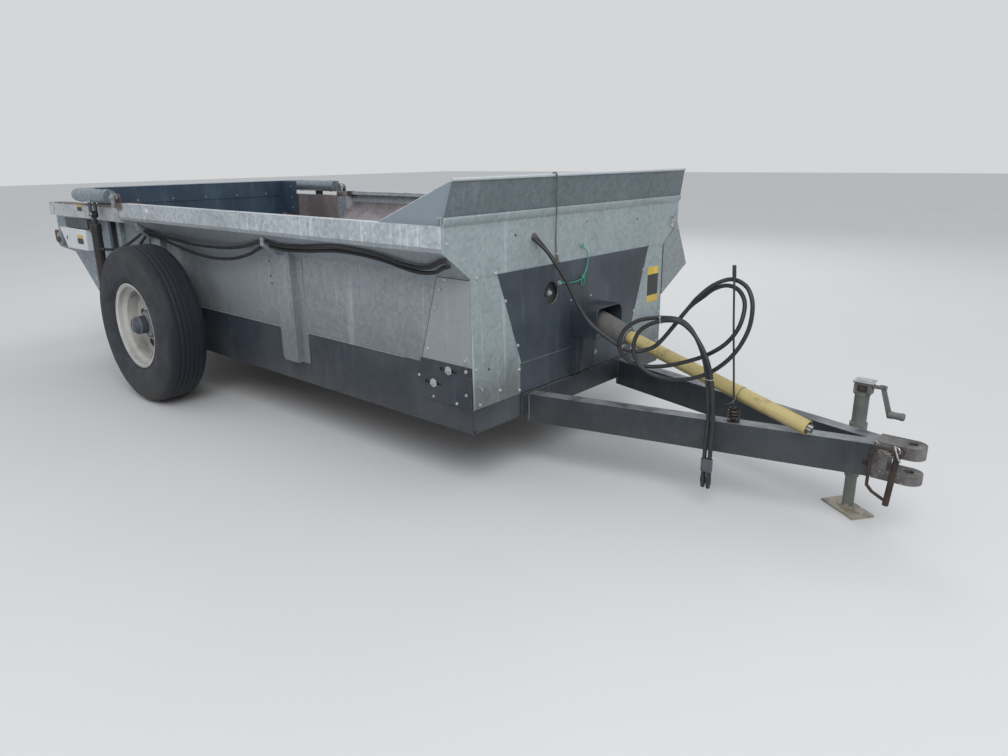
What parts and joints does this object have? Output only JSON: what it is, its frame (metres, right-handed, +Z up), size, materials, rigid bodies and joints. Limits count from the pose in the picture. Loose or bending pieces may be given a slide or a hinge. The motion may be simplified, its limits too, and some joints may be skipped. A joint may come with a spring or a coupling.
{
  "type": "manure spreader",
  "caption": "Towed manure spreader with a galvanised load box, moving floor, lifting rear gate, paddle beater, single axle and a narrow A-shaped tongue on a screw jack.",
  "frame": {"origin": "on the ground, under the middle of the machine's length and width", "axes": "+X forward to the hitch, +Y to the left, +Z up"},
  "size_m": [7.363, 2.66, 1.557],
  "materials": {
    "galvanised": "spangled zinc, dulled",
    "dark_paint": "dusty satin",
    "rim_paint": "dusty satin",
    "tyre_rubber": "dusty matte",
    "rusty_steel": "rusty",
    "bare_steel": "worn",
    "spring_steel": "worn",
    "white_paint": "dusty satin",
    "yellow_tube": "faded and scuffed",
    "grey_plastic": "matte",
    "cylinder_paint": "dusty satin",
    "rod_chrome": "polished",
    "planks": "stained, rough",
    "hose_rubber": "matte",
    "coupler_steel": "worn"
  },
  "bodies": {
    "frame_body": {"chassis": "dark_paint", "axle": "dark_paint", "floor": "planks", "apron_chain": "rusty_steel", "apron_front_shaft": "bare_steel", "apron_rear_shaft": "bare_steel", "side_panel_right": "galvanised", "side_panel_left": "galvanised", "top_rail_right": "galvanised", "top_rail_left": "galvanised", "rear_side_right": "galvanised", "rear_side_left": "galvanised", "front_panel": "galvanised", "splash_guard": "galvanised", "centre_cover": "dark_paint", "corner_plate_right": "dark_paint", "corner_plate_left": "dark_paint", "front_bulkhead": "galvanised", "shaft_shroud": "dark_paint", "gearbox": "bare_steel", "pto_cone": "grey_plastic", "pto_shaft": "yellow_tube", "tongue": "dark_paint", "hitch_clevis": "rusty_steel", "hitch_pin": "rusty_steel", "jack_body": "dark_paint", "hose_support": "spring_steel", "drive_shield": "galvanised", "line_shaft": "bare_steel", "rear_chain_case": "dark_paint", "beater_guard": "white_paint", "side_hoses": "hose_rubber", "hose_outer": "hose_rubber", "hose_inner": "hose_rubber", "hose_couplers": "coupler_steel"},
    "wheel_right_body": {"tyre_right": "tyre_rubber", "wheel_right": "rim_paint"},
    "wheel_left_body": {"tyre_left": "tyre_rubber", "wheel_left": "rim_paint"},
    "beater_body": {"beater": "rusty_steel"},
    "gate_body": {"gate_frame": "galvanised", "gate_panel": "dark_paint"},
    "cylinder_right_body": {"cylinder_right": "cylinder_paint"},
    "cylinder_left_body": {"cylinder_left": "cylinder_paint"},
    "rod_right_body": {"rod_right": "rod_chrome"},
    "rod_left_body": {"rod_left": "rod_chrome"},
    "jack_leg_body": {"jack_leg": "bare_steel"}
  },
  "joints": [
    {"name": "wheel_right_spin", "type": "hinge", "parent": "frame_body", "child": "wheel_right_body", "pos_m": [-0.9715, -1.181, 0.548], "axis": [0, 1, 0], "continuous": true},
    {"name": "wheel_left_spin", "type": "hinge", "parent": "frame_body", "child": "wheel_left_body", "pos_m": [-0.9715, 1.181, 0.548], "axis": [0, 1, 0], "continuous": true},
    {"name": "beater_spin", "type": "hinge", "parent": "frame_body", "child": "beater_body", "pos_m": [-3.2715, 0, 0.97], "axis": [0, 1, 0], "continuous": true},
    {"name": "gate_lift", "type": "hinge", "parent": "frame_body", "child": "gate_body", "pos_m": [-1.6315, 0, 1.385], "axis": [0, 1, 0], "range_deg": [0, 45]},
    {"name": "cylinder_right_swing", "type": "hinge", "parent": "frame_body", "child": "cylinder_right_body", "pos_m": [-2.0515, -1.055, 0.52], "axis": [0, 1, 0], "range_deg": [-0.505, 0]},
    {"name": "rod_right_slide", "type": "slide", "parent": "cylinder_right_body", "child": "rod_right_body", "axis": [0.0274, 0, 0.9996], "range_m": [0, 0.3317]},
    {"name": "cylinder_left_swing", "type": "hinge", "parent": "frame_body", "child": "cylinder_left_body", "pos_m": [-2.0515, 1.055, 0.52], "axis": [0, 1, 0], "range_deg": [-0.505, 0]},
    {"name": "rod_left_slide", "type": "slide", "parent": "cylinder_left_body", "child": "rod_left_body", "axis": [0.0274, 0, 0.9996], "range_m": [0, 0.3317]},
    {"name": "jack_leg_slide", "type": "slide", "parent": "frame_body", "child": "jack_leg_body", "axis": [0, 0, 1], "range_m": [-0.1, 0.15]}
  ],
  "couplings": [
    {"joint": "cylinder_right_swing", "follows": "gate_lift", "ratio": -0.011},
    {"joint": "rod_right_slide", "follows": "gate_lift", "m_per_rad": 0.414},
    {"joint": "cylinder_left_swing", "follows": "gate_lift", "ratio": -0.011},
    {"joint": "rod_left_slide", "follows": "gate_lift", "m_per_rad": 0.414}
  ]
}
